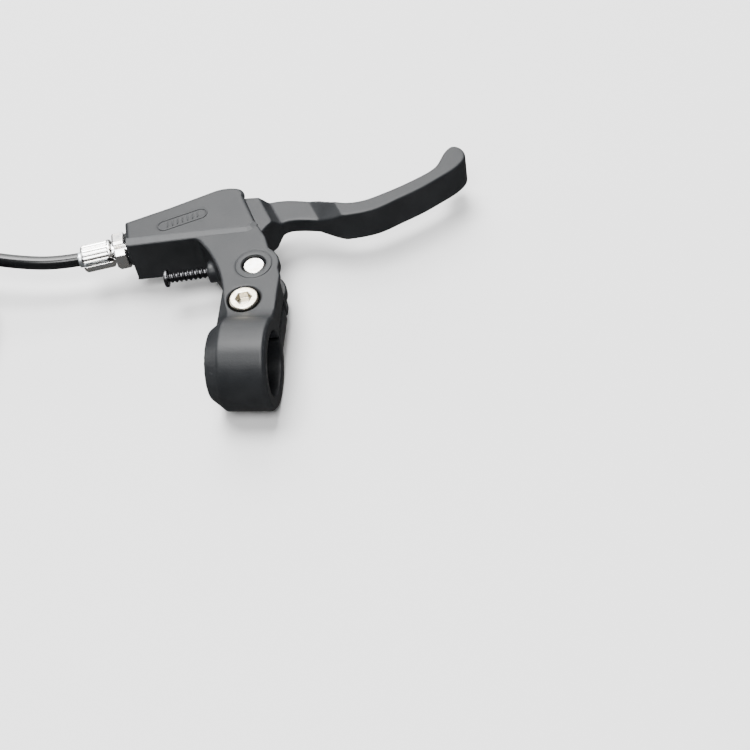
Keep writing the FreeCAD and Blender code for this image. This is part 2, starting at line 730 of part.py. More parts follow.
def make_clamp_hardware():
    head_under = SIZES["bolt_head_top"] - SIZES["bolt_head_length"]
    body = new_body("BoltBody")
    sketch = new_sketch(body, "BoltShankSketch", offset=raised(-BOLT_TAIL))
    draw_circle(sketch, BOLT, "bolt_radius")
    pad(body, sketch, "BoltShank", "Sizes.bolt_head_top - 1 + %s" % BOLT_TAIL, False)
    sketch = new_sketch(body, "BoltHeadSketch", offset=raised(head_under))
    draw_circle(sketch, BOLT, "bolt_head_radius")
    head = pad(body, sketch, "BoltHead", "Sizes.bolt_head_length", False)
    rims = [
        "Edge%d" % index
        for index, edge in enumerate(body.Shape.Edges, start=1)
        if abs(edge.BoundBox.ZMin - SIZES["bolt_head_top"]) < 1e-4
    ]
    rim = body.newObject("PartDesign::Fillet", "BoltRim")
    rim.Base = (head, rims)
    rim.Radius = 0.7
    doc.recompute()
    sketch = new_sketch(body, "SocketSketch", offset=raised(SIZES["bolt_head_top"]))
    corners = [
        polar(BOLT, SIZES["bolt_socket_flats"] / math.sqrt(3), 60 * k + SOCKET_TURN) for k in range(6)
    ]
    draw(sketch, corners[0], corners[1:])
    pocket(body, sketch, "Socket", "Sizes.bolt_socket_depth")
    sub_part(body, "clamp_bolt")

    washer_base = BOLT + Vector(0, 0, head_under - SIZES["bolt_washer_thick"])
    washer = boolean(
        "Cut",
        "BoltWasher",
        cylinder("BoltWasherOuter", "Sizes.bolt_washer_radius", "Sizes.bolt_washer_thick", washer_base),
        cylinder("BoltWasherBore", "Sizes.bolt_radius + 0.15", "4", washer_base - Vector(0, 0, 1)),
    )
    sub_part(washer, "clamp_bolt_washer")

    nut_base = BOLT + Vector(0, 0, -SIZES["nut_pocket_top"] - SIZES["nut_length"])
    nut = boolean(
        "Cut",
        "Nut",
        prism("NutBlank", "Sizes.nut_flats", "Sizes.nut_length", nut_base),
        cylinder("NutBore", "Sizes.bolt_radius", "8", nut_base - Vector(0, 0, 1)),
    )
    sub_part(nut, "clamp_nut")


# ---------------------------------------------------------------------------------------------------------------
# Reach screw
# ---------------------------------------------------------------------------------------------------------------
CROSS_LENGTH = 4.4
CROSS_WIDTH = 0.8
CROSS_DEPTH = 1.0


def make_reach_screw():
    """The screw along its own Z, with its head's top at zero and its thread as rings."""
    body = new_body("ReachBody")
    sketch = new_sketch(body, "ReachSketch", "XZ_Plane")
    head, under = SIZES["reach_head_radius"], SIZES["reach_head_length"]
    crest, core, pitch = SIZES["reach_radius"], SIZES["reach_core_radius"], SIZES["reach_pitch"]
    outline = [(head - 0.4, 0.0), (head, 0.4), (head, under), (core, under)]
    z = under + 0.8
    while z + pitch < REACH_LENGTH - 0.6:
        outline += [(core, z), (crest, z + 0.32 * pitch), (crest, z + 0.42 * pitch), (core, z + 0.74 * pitch)]
        z += pitch
    outline += [(core, REACH_LENGTH - 0.3), (core - 0.3, REACH_LENGTH), (0.0, REACH_LENGTH)]
    draw(sketch, (0.0, 0.0), outline)
    revolve(body, sketch, "ReachTurned")
    sketch = new_sketch(body, "ReachSlotSketch")
    long, short = CROSS_LENGTH / 2, CROSS_WIDTH / 2
    draw(sketch, (-long, -short), [(long, -short), (long, short), (-long, short)])
    pocket(body, sketch, "DriverSlotA", "%s mm" % CROSS_DEPTH, reverse=True)
    sketch = new_sketch(body, "ReachCrossSketch")
    draw(sketch, (-short, -long), [(short, -long), (short, long), (-short, long)])
    pocket(body, sketch, "DriverSlotB", "%s mm" % CROSS_DEPTH, reverse=True)
    sub_part(body, "reach_screw", REACH_FRAME)


# ---------------------------------------------------------------------------------------------------------------
# Barrel adjuster and lock ring, along the cable's line with Z outwards
# ---------------------------------------------------------------------------------------------------------------
FLUTES = 20
FLUTE_RADIUS = 0.42
RING_SIDES = 8
RING_CORNER_ANGLE = 28.3
RING_SLOT_ANGLE = 57.0
SLOT_ANGLE = 14.0


def turned(angle):
    """A turn about the cable's line: zero faces the bar's side, and 90 faces up."""
    return Placement(Vector(0, 0, 0), Rotation(Vector(0, 0, 1), angle))


def make_adjuster():
    body = new_body("AdjusterBody")
    thread, barrel = SIZES["adjuster_thread_radius"], SIZES["adjuster_barrel_radius"]
    start, end = SIZES["adjuster_barrel_start"], SIZES["adjuster_barrel_end"]
    mouth, mouth_start = SIZES["adjuster_mouth_radius"], SIZES["adjuster_mouth_start"]
    wire = SIZES["adjuster_wire_bore"]
    depth = -SIZES["adjuster_thread_depth"]
    sketch = new_sketch(body, "AdjusterSketch", "XZ_Plane")
    draw(
        sketch,
        (wire, depth),
        [
            (thread - 0.4, depth),
            (thread, depth + 0.4),
            (thread, start),
            (barrel - 0.4, start),
            (barrel, start + 0.4),
            (barrel, end - 0.8),
            (barrel - 0.8, end),
            (mouth, end),
            (mouth, mouth_start),
            (wire, mouth_start),
        ],
    )
    revolve(body, sketch, "AdjusterTurned")
    sketch = new_sketch(body, "FluteSketch", offset=raised(start + 1.2))
    sketch.addGeometry(Part.Circle(Vector(barrel + 0.12, 0, 0), Vector(0, 0, 1), FLUTE_RADIUS), False)
    flute = pocket(body, sketch, "Flute", "20 mm", reverse=True)
    flutes = body.newObject("PartDesign::PolarPattern", "Flutes")
    flutes.Originals = [flute]
    flutes.Axis = (sketch, ["N_Axis"])
    flutes.Angle = 360
    flutes.Occurrences = FLUTES
    body.Tip = flutes
    doc.recompute()
    slot = body.newObject("PartDesign::SubtractiveBox", "AdjusterSlot")
    slot.Length, slot.Height = 8.0, 40.0
    bind(slot, Width="Sizes.cable_slot")
    slot.Placement = Placement(Vector(0, -SIZES["cable_slot"] / 2, -15.0), Rotation())
    doc.recompute()
    sub_part(body, "barrel_adjuster", CABLE_FRAME.multiply(turned(SLOT_ANGLE)))

    body = new_body("LockRingBody")
    sketch = new_sketch(body, "LockRingSketch")
    corners = [polar(Vector(0, 0, 0), SIZES["lock_ring_radius"], 45 * k) for k in range(RING_SIDES)]
    draw(sketch, corners[0], corners[1:])
    draw_circle(sketch, (0, 0), "thread_hole_radius")
    ring = pad(body, sketch, "LockRingPad", "Sizes.lock_ring_length", False)
    rims = [
        "Edge%d" % index
        for index, edge in enumerate(body.Shape.Edges, start=1)
        if edge.BoundBox.ZLength < 1e-4 and edge.CenterOfMass.Length > 0 and edge.Length < 8
    ]
    bevel = body.newObject("PartDesign::Chamfer", "LockRingBevel")
    bevel.Base = (ring, rims)
    bevel.Size = 0.5
    doc.recompute()
    slot = body.newObject("PartDesign::SubtractiveBox", "LockRingSlot")
    slot.Length, slot.Height = 9.0, 10.0
    bind(slot, Width="Sizes.cable_slot")
    slot.Placement = Placement(
        Vector(0, 0, -2.0), Rotation(Vector(0, 0, 1), RING_SLOT_ANGLE - RING_CORNER_ANGLE)
    ).multiply(Placement(Vector(0, -SIZES["cable_slot"] / 2, 0), Rotation()))
    doc.recompute()
    place = Placement(along_cable(SIZES["lock_ring_start"]), CABLE_FRAME.Rotation)
    sub_part(body, "adjuster_lock_ring", place.multiply(turned(RING_CORNER_ANGLE)))


# ---------------------------------------------------------------------------------------------------------------
# Cable
# ---------------------------------------------------------------------------------------------------------------
FERRULE_START = 9.55
FERRULE_MOUTH = FERRULE_START + SIZES["ferrule_length"]
HOUSING_START = FERRULE_START + SIZES["ferrule_wall"]
HOUSING_BORE_DEPTH = 9.0
WIRE_END = FERRULE_MOUTH - 1.0
COIL_CENTRE = Vector(-131.0, 24.5, 0)
CORD_FLOOR = -12.5
COIL_TOP = CORD_FLOOR + SIZES["coil_turn_pitch"] * SIZES["coil_turns"]
HOUSING_ROUTE = [
    along_cable(HOUSING_START),
    along_cable(26.0),
    Vector(-93.0, 48.8, 2.3),
    Vector(-112.0, 51.9, 4.5),
    Vector(COIL_CENTRE.x, COIL_CENTRE.y + SIZES["coil_radius"], COIL_TOP),
]
FAR_X = COIL_CENTRE.x - SIZES["coil_radius"]
COIL_MEETING = 14.0
FAR_HOUSING_END = -15.7
FAR_BORE_DEPTH = 16.0
TAIL_END = -50.0
CRIMP_LENGTH = 6.0
CRIMP_RADIUS = 1.3
TIE_ANGLE = 250.0


def rounded_path(points):
    """Straight runs joined by tangent arcs, each as large as its two runs allow."""
    edges, radii = [], []
    here = points[0]
    for before, corner, after in zip(points, points[1:], points[2:]):
        incoming, outgoing = corner - before, after - corner
        tangent = 0.45 * min(incoming.Length, outgoing.Length)
        a, b = incoming.normalize(), outgoing.normalize()
        half_turn = a.getAngle(b) / 2
        radius = tangent / math.tan(half_turn)
        radii.append(radius)
        start, end = corner - a * tangent, corner + b * tangent
        middle_out = (b - a).normalize()
        middle = corner + middle_out * (radius / math.cos(half_turn) - radius)
        edges.append(Part.LineSegment(here, start).toShape())
        edges.append(Part.Arc(start, middle, end).toShape())
        here = end
    edges.append(Part.LineSegment(here, points[-1]).toShape())
    return Part.Wire(edges), radii


def tube_along(points, radius):
    """A round tube along a rounded path."""
    path, radii = rounded_path(points)
    direction = (points[1] - points[0]).normalize()
    profile = Part.Wire([Part.makeCircle(radius, points[0], direction)])
    solid = path.makePipeShell([profile], True, True)
    print("tube radii", [round(value, 1) for value in radii], "length", round(path.Length, 1))
    print("tube volume ratio", round(solid.Volume / (math.pi * radius**2 * path.Length), 4))
    return solid


def make_ferrule(name, placement):
    """A cap along its own Z: the closed end at zero, the housing's mouth at its length."""
    outer = cylinder(name + "Outer", "Sizes.ferrule_radius", "Sizes.ferrule_length")
    seat = cylinder(name + "Seat", "Sizes.housing_radius", "20", Vector(0, 0, SIZES["ferrule_wall"]))
    hole = cylinder(name + "Hole", "Sizes.housing_bore_radius", "20", Vector(0, 0, -5))
    cup = boolean("Cut", name + "Cup", outer, seat)
    sub_part(boolean("Cut", name + "Cap", cup, hole), name, placement)


def coil_ring(centre):
    """The outer shape of the wound turns about a centre."""
    radius, half = SIZES["coil_radius"], SIZES["housing_radius"]
    bottom, top = CORD_FLOOR - half, COIL_TOP + half
    base = Vector(centre.x, centre.y, bottom)
    outer = Part.makeCylinder(radius + half, top - bottom, base)
    inner = Part.makeCylinder(radius - half, top - bottom, base)
    return outer.cut(inner)


def make_feature(name, shape, placement=None):
    feature = doc.addObject("Part::Feature", name)
    feature.Shape = shape
    return sub_part(feature, name, placement)


def make_cable():
    wire, housing, bore = SIZES["wire_radius"], SIZES["housing_radius"], SIZES["housing_bore_radius"]
    make_ferrule("housing_ferrule", Placement(along_cable(FERRULE_START), CABLE_FRAME.Rotation))

    ring = coil_ring(COIL_CENTRE)
    make_feature("housing_coil", ring)

    tube = tube_along(HOUSING_ROUTE, housing)
    start_bore = Part.makeCylinder(bore, HOUSING_BORE_DEPTH, HOUSING_ROUTE[0], CABLE_OUT)
    beyond = Part.makeBox(60, 60, 60, Vector(COIL_CENTRE.x + COIL_MEETING - 60, COIL_CENTRE.y, -30))
    make_feature("cable_housing", tube.cut(start_bore).cut(ring).cut(beyond))

    far_end = Vector(FAR_X, FAR_HOUSING_END, CORD_FLOOR)
    run_length = COIL_CENTRE.y - COIL_MEETING - FAR_HOUSING_END
    run = Part.makeCylinder(housing, run_length, far_end, Vector(0, 1, 0))
    far_bore = Part.makeCylinder(bore, FAR_BORE_DEPTH, far_end, Vector(0, 1, 0))
    make_feature("housing_far_run", run.cut(far_bore).cut(ring))
    far_place = Placement(far_end - Vector(0, SIZES["ferrule_wall"], 0), Rotation(Vector(1, 0, 0), -90))
    make_ferrule("far_ferrule", far_place)

    nipple_body = cylinder("NippleBarrel", "Sizes.nipple_radius", "2 * Sizes.nipple_half")
    nipple_body.Placement = Placement(NIPPLE - Vector(0, 0, SIZES["nipple_half"]), Rotation())
    wire_hole = cylinder("NippleHole", "Sizes.wire_radius", "8")
    wire_hole.Placement = Placement(NIPPLE, CABLE_FRAME.Rotation)
    sub_part(boolean("Cut", "Nipple", nipple_body, wire_hole), "cable_nipple")

    wire_length = (along_cable(WIRE_END) - NIPPLE).Length
    inner = cylinder("InnerWire", "Sizes.wire_radius", "%s" % wire_length)
    sub_part(inner, "inner_cable", Placement(NIPPLE, CABLE_FRAME.Rotation))

    tail_start = FAR_HOUSING_END + 2.0
    tail = cylinder("TailWire", "Sizes.wire_radius", "%s" % (tail_start - TAIL_END))
    tail_base = Vector(FAR_X, tail_start, CORD_FLOOR)
    sub_part(tail, "inner_cable_tail", Placement(tail_base, Rotation(Vector(1, 0, 0), 90)))
    crimp = boolean(
        "Cut",
        "Crimp",
        cylinder("CrimpOuter", "%s" % CRIMP_RADIUS, "%s" % CRIMP_LENGTH),
        cylinder("CrimpBore", "Sizes.wire_radius", "%s" % (CRIMP_LENGTH - 1.0)),
    )
    crimp_base = Vector(FAR_X, TAIL_END + CRIMP_LENGTH - 1.0, CORD_FLOOR)
    sub_part(crimp, "tail_crimp", Placement(crimp_base, Rotation(Vector(1, 0, 0), 90)))

    thick, width = SIZES["tie_thick"], SIZES["tie_width"]
    radius = SIZES["coil_radius"]
    bottom, top = CORD_FLOOR - housing, COIL_TOP + housing
    outer = Part.makeBox(2 * housing + 2 * thick, width, top - bottom + 2 * thick)
    outer.translate(Vector(radius - housing - thick, -width / 2, bottom - thick))
    strap = outer.cut(coil_ring(Vector(0, 0, 0)))
    turn = Rotation(Vector(0, 0, 1), TIE_ANGLE)
    make_feature("coil_tie", strap, Placement(COIL_CENTRE, turn))


# ---------------------------------------------------------------------------------------------------------------
# Build, check and write
# ---------------------------------------------------------------------------------------------------------------
make_bracket()
make_blade()
make_pivot()
make_spring()
make_clamp_hardware()
make_reach_screw()
make_adjuster()
make_cable()
doc.recompute()

failed = [item.Name for item in doc.Objects if {"Invalid", "Error"} & set(item.State)]
if failed:
    raise RuntimeError("these objects failed: %s" % ", ".join(failed))
for part in PARTS:
    if part.Shape.isNull() or not part.Shape.isValid() or not part.Shape.Solids:
        raise RuntimeError("%s has no valid solid" % part.Label)
labels = [part.Label for part in PARTS]
if len(set(labels)) != len(labels):
    raise RuntimeError("two sub-parts share a label")

os.makedirs("parts", exist_ok=True)
for part in PARTS:
    part.Shape.exportStep("parts/%s.step" % part.Label)
    print("%-22s %9.1f mm3  %d solids" % (part.Label, part.Shape.Volume, len(part.Shape.Solids)))
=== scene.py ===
"""The looks of a bicycle brake lever and its cable, built round its CAD parts.

Every place is in the CAD parts' own frame: x along the bar towards the grip, y forwards in the lever's plane
and z up along the pivot pin. Lengths are in metres, and in millimetres in the level sets.
"""
import json
import math

import bmesh
import bpy
import numpy as np
import openvdb
from mathutils import Matrix, Vector


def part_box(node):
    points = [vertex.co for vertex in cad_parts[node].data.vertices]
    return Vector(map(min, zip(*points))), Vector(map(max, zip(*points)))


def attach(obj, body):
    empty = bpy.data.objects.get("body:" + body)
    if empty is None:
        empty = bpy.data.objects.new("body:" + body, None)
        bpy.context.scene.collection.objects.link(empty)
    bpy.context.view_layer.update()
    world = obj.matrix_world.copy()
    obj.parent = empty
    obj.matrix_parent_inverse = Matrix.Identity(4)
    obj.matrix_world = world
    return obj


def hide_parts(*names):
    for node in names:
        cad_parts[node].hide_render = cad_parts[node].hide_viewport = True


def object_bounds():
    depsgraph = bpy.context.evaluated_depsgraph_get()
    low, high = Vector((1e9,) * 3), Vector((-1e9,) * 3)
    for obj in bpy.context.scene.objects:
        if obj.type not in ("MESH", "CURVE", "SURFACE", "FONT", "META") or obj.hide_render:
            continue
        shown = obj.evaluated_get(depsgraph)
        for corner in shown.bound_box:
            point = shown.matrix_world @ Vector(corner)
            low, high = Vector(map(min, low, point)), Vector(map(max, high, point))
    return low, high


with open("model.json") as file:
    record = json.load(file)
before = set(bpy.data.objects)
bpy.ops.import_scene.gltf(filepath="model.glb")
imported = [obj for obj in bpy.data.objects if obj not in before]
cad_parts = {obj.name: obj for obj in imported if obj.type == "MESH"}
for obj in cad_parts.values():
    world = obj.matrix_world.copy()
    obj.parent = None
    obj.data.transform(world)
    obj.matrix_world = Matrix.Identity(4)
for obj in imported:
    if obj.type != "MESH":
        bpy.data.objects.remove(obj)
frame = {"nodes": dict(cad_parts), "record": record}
cad_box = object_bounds()

MM = 0.001
COARSE = 1.0


# --------------------------------------------------------------------------------------------------
# Camera
# --------------------------------------------------------------------------------------------------
CAMERA_PLACE = Vector((0.107028, -0.274873, 0.336409))
CAMERA_RIGHT = Vector((0.98955266, 0.07276202, -0.1244637))
CAMERA_UP = Vector((0.02071426, 0.78258883, 0.62219421))
CAMERA_LENS, CAMERA_SENSOR = 63.8, 36.0
CAMERA_NEAR, CAMERA_FAR = 0.02, 20.0


def make_camera():
    """Stands above and in front of the bar, with the lever at the upper left of its square view."""
    data = bpy.data.cameras.new("camera")
    data.lens = CAMERA_LENS
    data.sensor_width = CAMERA_SENSOR
    data.clip_start = CAMERA_NEAR
    data.clip_end = CAMERA_FAR
    camera = bpy.data.objects.new("camera", data)
    bpy.context.scene.collection.objects.link(camera)
    back = CAMERA_RIGHT.cross(CAMERA_UP).normalized()
    turn = Matrix((CAMERA_RIGHT, CAMERA_UP, back)).transposed().to_4x4()
    camera.matrix_world = Matrix.Translation(CAMERA_PLACE) @ turn
    bpy.context.scene.camera = camera


# --------------------------------------------------------------------------------------------------
# Materials
# --------------------------------------------------------------------------------------------------
class Nodes:
    """A short way to write a material's nodes."""

    def __init__(self, name):
        self.material = bpy.data.materials.new(name)
        self.material.use_nodes = True
        self.tree = self.material.node_tree
        self.shader = self.tree.nodes["Principled BSDF"]
        self.place = self.add("ShaderNodeTexCoord").outputs["Object"]

    def add(self, kind, inputs=None, **settings):
        """A new node of a kind, with its inputs fed by name and its other settings set."""
        node = self.tree.nodes.new(kind)
        for key, value in settings.items():
            setattr(node, key, value)
        for key, value in (inputs or {}).items():
            self.feed(node.inputs[key], value)
        return node

    def feed(self, socket, value):
        """Links a socket's value to an input, or sets a plain value on it."""
        if isinstance(value, bpy.types.NodeSocket):
            self.tree.links.new(value, socket)
        else:
            socket.default_value = value

    def set(self, **values):
        """Feeds the shader's inputs, each named with _ in place of its spaces."""
        for key, value in values.items():
            self.feed(self.shader.inputs[key.replace("_", " ")], value)

    def noise(self, size, detail=2.0, roughness=0.5):
        """Noise whose cells are about a size across, in metres."""
        node = self.add(
            "ShaderNodeTexNoise",
            {"Vector": self.place, "Scale": 1.0 / size, "Detail": detail, "Roughness": roughness},
        )
        return node.outputs["Fac"]

    def ramp(self, value, low, high, out_low, out_high):
        """A value stretched from one range to another, and held within it."""
        node = self.add(
            "ShaderNodeMapRange",
            {"Value": value, "From Min": low, "From Max": high, "To Min": out_low, "To Max": out_high},
        )
        return node.outputs["Result"]

    def math(self, operation, a, b):
        """The result of a Math node's operation on two values."""
        node = self.add("ShaderNodeMath", operation=operation)
        self.feed(node.inputs[0], a)
        self.feed(node.inputs[1], b)
        return node.outputs["Value"]

    def mix(self, factor, first, second):
        """A colour between two others."""
        node = self.add("ShaderNodeMix", data_type="RGBA")
        self.feed(node.inputs["Factor"], factor)
        for key, colour in (("A", first), ("B", second)):
            # the mix node has sockets of each name for every data type
            socket = next(item for item in node.inputs if item.name == key and item.type == "RGBA")
            self.feed(socket, colour if isinstance(colour, bpy.types.NodeSocket) else (*colour, 1))
        return node.outputs["Result"]

    def bump(self, height, distance, strength, normal=None):
        """A normal tilted by a height map, on top of another normal if there is one."""
        inputs = {"Height": height, "Distance": distance, "Strength": strength}
        if normal is not None:
            inputs["Normal"] = normal
        return self.add("ShaderNodeBump", inputs).outputs["Normal"]


NYLON_DARK, NYLON_PALE = (0.0085, 0.0095, 0.0110), (0.0150, 0.0165, 0.0185)
# the edges' paler colour: partly wear, partly a painted highlight
NYLON_WEAR_AND_HIGHLIGHT = (0.060, 0.063, 0.067)
PVC_DARK, PVC_PALE = (0.0030, 0.0033, 0.0038), (0.0060, 0.0064, 0.0072)


def moulded_plastic():
    """Black glass-filled nylon from a sparked mould: grainy, faintly clouded, and paler at its edges, partly
    from wear and partly as a painted highlight.
    """
    nodes = Nodes("moulded_plastic")
    grain = nodes.noise(0.30 * MM, detail=3.0, roughness=0.65)
    clouds = nodes.noise(8 * MM, detail=4.0)
    shade = nodes.math("ADD", nodes.math("MULTIPLY", grain, 0.45), nodes.math("MULTIPLY", clouds, 0.55))
    colour = nodes.mix(nodes.ramp(shade, 0.35, 0.65, 0, 1), NYLON_DARK, NYLON_PALE)
    # convex edges are paler: partly wear, partly a painted highlight standing in for the light that rounded
    # edges catch
    edge = nodes.ramp(nodes.add("ShaderNodeNewGeometry").outputs["Pointiness"], 0.52, 0.60, 0, 1)
    wear_and_highlight = nodes.math("MULTIPLY", edge, nodes.ramp(clouds, 0.4, 0.6, 0.15, 0.5))
    nodes.set(Base_Color=nodes.mix(wear_and_highlight, colour, NYLON_WEAR_AND_HIGHLIGHT))
    nodes.set(Roughness=nodes.ramp(shade, 0.35, 0.65, 0.37, 0.47), Specular_IOR_Level=0.34)
    sparks = nodes.noise(0.60 * MM, detail=2.0, roughness=0.6)
    coarse = nodes.bump(sparks, 0.030 * MM, 0.8)
    nodes.set(Normal=nodes.bump(grain, 0.018 * MM, 0.8, normal=coarse))
    return nodes.material


def metal(name, colour, roughness, stain_colour=None):
    """A plated or machined metal with fine scratches and slight staining."""
    nodes = Nodes(name)
    stain = nodes.noise(1.8 * MM, detail=4.0)
    fine = nodes.noise(0.10 * MM, detail=3.0)
    tint = nodes.mix(nodes.ramp(stain, 0.40, 0.68, 0, 1), colour, stain_colour or [c * 0.85 for c in colour])
    nodes.set(Base_Color=tint, Metallic=1.0)
    nodes.set(Roughness=nodes.ramp(stain, 0.3, 0.7, roughness * 0.8, roughness * 1.3))
    nodes.set(Normal=nodes.bump(fine, 0.006 * MM, 0.5))
    return nodes.material


def glossy_housing():
    """Extruded black PVC: glossy, with the slight waviness of the wire wound under it."""
    nodes = Nodes("glossy_housing")
    wave = nodes.noise(1.4 * MM, detail=2.0)
    fine = nodes.noise(0.25 * MM, detail=2.0)
    nodes.set(Base_Color=nodes.mix(wave, PVC_DARK, PVC_PALE))
    nodes.set(Roughness=nodes.ramp(fine, 0.3, 0.7, 0.16, 0.26))
    nodes.set(Normal=nodes.bump(wave, 0.015 * MM, 0.5))
    return nodes.material


def dull_plastic(name, colour):
    """A small moulded piece's plain plastic, with a fine grain."""
    nodes = Nodes(name)
    grain = nodes.noise(0.3 * MM, detail=2.0)
    nodes.set(Base_Color=nodes.mix(grain, [c * 0.85 for c in colour], [c * 1.15 for c in colour]))
    nodes.set(Roughness=nodes.ramp(grain, 0.3, 0.7, 0.4, 0.6), Normal=nodes.bump(grain, 0.02 * MM, 0.5))
    return nodes.material


MATERIALS = {
    "moulded_black": moulded_plastic(),
    "bush_plastic": dull_plastic("bush_plastic", (0.55, 0.54, 0.50)),
    "zinc_steel": metal("zinc_steel", (0.90, 0.90, 0.90), 0.26, stain_colour=(0.86, 0.80, 0.70)),
    "spring_steel": metal("spring_steel", (0.40, 0.40, 0.42), 0.30),
    "black_screw": metal("black_screw", (0.10, 0.10, 0.105), 0.28),
    "bright_alloy": metal("bright_alloy", (0.93, 0.93, 0.93), 0.24, stain_colour=(0.92, 0.88, 0.82)),
    "ferrule_metal": metal("ferrule_metal", (0.88, 0.93, 0.97), 0.34),
    "housing_black": glossy_housing(),
    "wire_steel": metal("wire_steel", (0.60, 0.60, 0.62), 0.25),
    "nipple_metal": metal("nipple_metal", (0.60, 0.60, 0.60), 0.35),
    "tie_black": dull_plastic("tie_black", (0.045, 0.045, 0.047)),
}
# nodes whose finish is a variety of their slot's
OWN_MATERIALS = {
    "clamp_bolt": metal("passivated_zinc", (0.76, 0.72, 0.63), 0.27, stain_colour=(0.62, 0.55, 0.42)),
}
SLOT_OF = {part["node"]: part["material_slot"] for part in frame["record"]["subparts"]}


def finish_with(piece, node):
    """Gives a piece the material and the record's slot of a CAD node."""
    piece.data.materials.clear()
    piece.data.materials.append(OWN_MATERIALS.get(node, MATERIALS[SLOT_OF[node]]))


def middle_of(node):
    """The middle of a CAD node's box."""
    low, high = (Vector(corner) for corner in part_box(node))
    return (low + high) / 2


def body_of_node(node):
    """The body that a CAD node is part of."""
    bodies = frame["record"]["behaviour"]["bodies"]
    return next(body for body, nodes in bodies.items() if node in nodes)


# --------------------------------------------------------------------------------------------------
# Moulded pieces: the CAD solid with every edge rounded, as a mould leaves it
# --------------------------------------------------------------------------------------------------
# points this near each other are one
SAME_PLACE = 1e-7


def mesh_arrays(node, keep_before=None):
    """A CAD node's mesh in millimetres, with its split vertices joined, as points, triangles and no quads.

    keep_before is a point and a direction: what lies beyond that plane is cut off.
    """
    shape = bmesh.new()
    shape.from_mesh(frame["nodes"][node].data)
    bmesh.ops.remove_doubles(shape, verts=shape.verts, dist=SAME_PLACE)
    if keep_before is not None:
        place, direction = keep_before
        everything = shape.verts[:] + shape.edges[:] + shape.faces[:]
        cut = bmesh.ops.bisect_plane(
            shape, geom=everything, plane_co=place, plane_no=direction, clear_outer=True, dist=SAME_PLACE
        )
        rim = [item for item in cut["geom_cut"] if isinstance(item, bmesh.types.BMEdge)]
        bmesh.ops.triangle_fill(shape, edges=rim, use_beauty=True)
    bmesh.ops.triangulate(shape, faces=shape.faces)
    shape.verts.ensure_lookup_table()
    points = np.array([vert.co / MM for vert in shape.verts], np.float32)
    triangles = np.array([[vert.index for vert in face.verts] for face in shape.faces], np.uint32)
    shape.free()
    return points, triangles, np.zeros((0, 4), np.uint32)


# a level set's width beyond the reach asked for
SPARE_VOXELS = 3


def level_set(mesh, voxel, reach):
    """Signed distances within a reach of a closed mesh."""
    points, triangles, quads = mesh
    return openvdb.FloatGrid.createLevelSetFromPolygons(
        points,
        triangles=triangles,
        quads=quads,
        transform=openvdb.createLinearTransform(voxelSize=voxel),
        halfWidth=reach / voxel + SPARE_VOXELS,
    )


def moved(mesh, voxel, *distances):
    """The mesh's surface moved outwards by each distance in turn.

    In and out rounds its outer edges, and out and in rounds its inner ones.
    """
    for distance in distances:
        mesh = level_set(mesh, voxel, abs(distance)).convertToPolygons(isovalue=distance)
    return mesh


def new_piece(name, node, points, faces, replaces=True):
    """A smooth piece in metres, which rides and is finished as a CAD node is."""
    data = bpy.data.meshes.new(name)
    data.from_pydata(points, [], faces)
    data.polygons.foreach_set("use_smooth", [True] * len(data.polygons))
    piece = bpy.data.objects.new(name, data)
    bpy.context.scene.collection.objects.link(piece)
    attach(piece, body_of_node(node))
    if replaces:
        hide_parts(node)
    finish_with(piece, node)
    return piece


def surface_piece(name, node, mesh):
    """A piece that replaces a CAD node, of a mesh in millimetres."""
    points, triangles, quads = mesh
    return new_piece(name, node, (points * MM).tolist(), triangles.tolist() + quads.tolist())


def rounded(node, voxel, convex, concave, keep_before=None):
    """A CAD node's shape with its edges rounded, by sizes in millimetres, as a piece that replaces it."""
    mesh = moved(mesh_arrays(node, keep_before), voxel, -convex, convex, concave, -concave)
    return surface_piece(node + "_rounded", node, mesh)


# the voxel, the outer edges' radius and the inner edges' radius, in millimetres
BRACKET_EDGES = (0.24 * COARSE, 0.38, 0.28)
BLADE_EDGES = (0.26 * COARSE, 0.6, 0.4)
METAL_EDGES = (0.09 * COARSE, 0.15, 0.09)
REACH_HEAD_EDGES = (0.08 * COARSE, 0.15, 0.08)

# the bracket's large fillet, in millimetres: its radius, the box on the upper face that it lies in, how far
# from the box's walls it fades in, and the radius round the bolt that it stays out of
BLEND_RADIUS = 7.5
BLEND_LOW, BLEND_HIGH = (-14.0, 5.5, 5.5), (12.0, 22.0, 16.5)
BLEND_FADE = 1.5
BLEND_BOLT_RADIUS = 6.2


def dense(grid, low, shape):
    """A block of a grid's values, from its lowest voxel on."""
    values = np.zeros(shape, np.float32)
    grid.copyToArray(values, ijk=low)
    return values


def depth_in_box(places, corners):
    """How far inside a box each place is, from the nearest wall. It is negative outside."""
    walls = zip(places, *corners)
    return np.minimum.reduce([np.minimum(place - min(a, b), max(a, b) - place) for place, a, b in walls])


